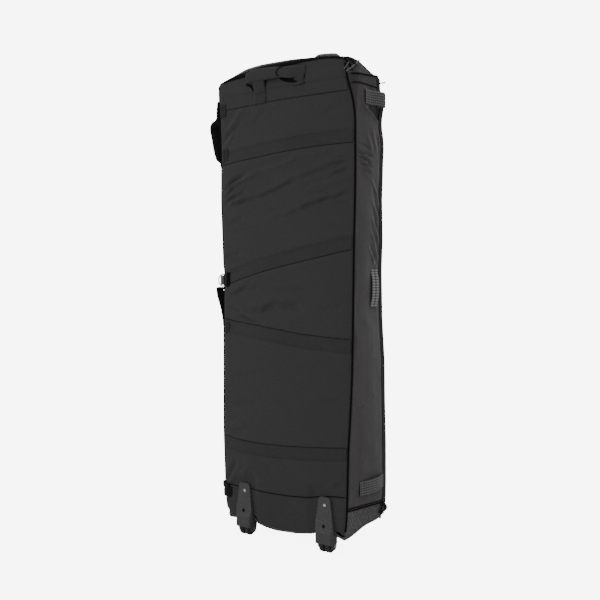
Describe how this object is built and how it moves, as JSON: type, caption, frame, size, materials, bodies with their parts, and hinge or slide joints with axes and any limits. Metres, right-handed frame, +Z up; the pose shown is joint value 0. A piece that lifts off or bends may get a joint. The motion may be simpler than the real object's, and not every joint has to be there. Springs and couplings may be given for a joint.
{
  "type": "wheeled snowboard bag",
  "caption": "Tall padded rectangular board bag standing on recessed wheels and feet, with a zipped front lid, crossing webbing bands, haul and grab handles and a strap ring.",
  "frame": {"origin": "floor level under the middle of the whole object, with the bag standing on its wheels and feet", "axes": "+Z up along the bag's length, -Y the back with the wheels, +Y the front that opens, +X the bag's right seen from the back"},
  "size_m": [0.5938, 0.2645, 1.5575],
  "materials": {
    "shell_fabric": "coarse black polyester",
    "side_fabric": "black polyester with a slight sheen",
    "end_fabric": "coarse dark grey ballistic weave",
    "board": "smooth",
    "foam": "closed-cell foam",
    "lining": "plain grey woven lining",
    "piping": "satin",
    "steel": "plain",
    "bracket_plastic": "moulded, fine texture",
    "foot_plastic": "moulded",
    "black_webbing": "ribbed webbing",
    "grey_webbing": "chunky grid-woven webbing",
    "ring_metal": "polished",
    "zip_tape": "knitted tape with coil",
    "zip_metal": "black lacquer",
    "pull_plastic": "moulded",
    "tyre": "urethane, scuffed",
    "hub_plastic": "moulded"
  },
  "bodies": {
    "bag": {"back_panel": "shell_fabric", "right_wall": "side_fabric", "left_wall": "side_fabric", "top_cap": "end_fabric", "wheel_cap": "shell_fabric", "base_board": "board", "end_board": "board", "back_pad": "foam", "right_pad": "foam", "left_pad": "foam", "top_pad": "foam", "end_pad": "foam", "lining": "lining", "piping": "piping", "backing_plates": "steel", "bracket_left": "bracket_plastic", "bracket_right": "bracket_plastic", "bracket_rivets": "steel", "wheel_axles": "steel", "axle_nuts": "steel", "axle_spacers": "steel", "feet": "foot_plastic", "foot_rivets": "steel", "band_top": "black_webbing", "band_upper": "black_webbing", "band_diagonal": "black_webbing", "band_middle": "black_webbing", "band_low": "black_webbing", "haul_handle_upper": "black_webbing", "haul_handle_lower": "black_webbing", "ring_tab": "grey_webbing", "grab_handle_upper": "grey_webbing", "grab_handle_middle": "grey_webbing", "grab_handle_lower": "grey_webbing", "top_strap": "black_webbing", "top_grip": "shell_fabric", "end_handle": "grey_webbing", "zip_loop": "black_webbing", "zip_tape_body": "zip_tape", "hinge_tape": "shell_fabric"},
    "wheel_1": {"tyre_1": "tyre", "hub_1": "hub_plastic", "bearings_1": "steel"},
    "wheel_2": {"tyre_2": "tyre", "hub_2": "hub_plastic", "bearings_2": "steel"},
    "wheel_3": {"tyre_3": "tyre", "hub_3": "hub_plastic", "bearings_3": "steel"},
    "wheel_4": {"tyre_4": "tyre", "hub_4": "hub_plastic", "bearings_4": "steel"},
    "lid": {"lid_panel": "shell_fabric", "lid_pad": "foam", "zip_tape_lid": "zip_tape"},
    "side_slider": {"slider_side": "zip_metal"},
    "side_pull": {"pull_side": "pull_plastic"},
    "top_slider": {"slider_top": "zip_metal"},
    "top_pull": {"pull_top": "pull_plastic"},
    "ring": {"d_ring": "ring_metal"}
  },
  "joints": [
    {"name": "wheel_1_spin", "type": "hinge", "parent": "bag", "child": "wheel_1", "pos_m": [-0.15864, -0.10135, 0.023], "axis": [1, 0, 0], "continuous": true},
    {"name": "wheel_2_spin", "type": "hinge", "parent": "bag", "child": "wheel_2", "pos_m": [-0.13764, -0.10135, 0.023], "axis": [1, 0, 0], "continuous": true},
    {"name": "wheel_3_spin", "type": "hinge", "parent": "bag", "child": "wheel_3", "pos_m": [0.15536, -0.10135, 0.023], "axis": [1, 0, 0], "continuous": true},
    {"name": "wheel_4_spin", "type": "hinge", "parent": "bag", "child": "wheel_4", "pos_m": [0.17636, -0.10135, 0.023], "axis": [1, 0, 0], "continuous": true},
    {"name": "lid_hinge", "type": "hinge", "parent": "bag", "child": "lid", "pos_m": [-0.22794, 0.12965, 0.0625], "axis": [-0.0174, -0.0576, 0.9982], "range_deg": [0, 165]},
    {"name": "side_zip_slide", "type": "slide", "parent": "bag", "child": "side_slider", "axis": [-0.0174, 0.0576, -0.9982], "range_m": [0, 1.3975]},
    {"name": "side_pull_hinge", "type": "hinge", "parent": "side_slider", "child": "side_pull", "pos_m": [0.27807, 0.03378, 1.47735], "axis": [0.001, 0.9983, 0.0576], "range_deg": [-88, 88]},
    {"name": "top_zip_slide", "type": "slide", "parent": "bag", "child": "top_slider", "axis": [-1, 0, 0], "range_m": [0, 0.4641]},
    {"name": "top_pull_hinge", "type": "hinge", "parent": "top_slider", "child": "top_pull", "pos_m": [0.24589, 0.0324, 1.5101], "axis": [0, 1, 0], "range_deg": [0, 172]},
    {"name": "ring_swing", "type": "hinge", "parent": "bag", "child": "ring", "pos_m": [-0.2456, -0.10435, 0.85457], "axis": [-0.0174, 0, 0.9998], "range_deg": [-85, 80]}
  ]
}
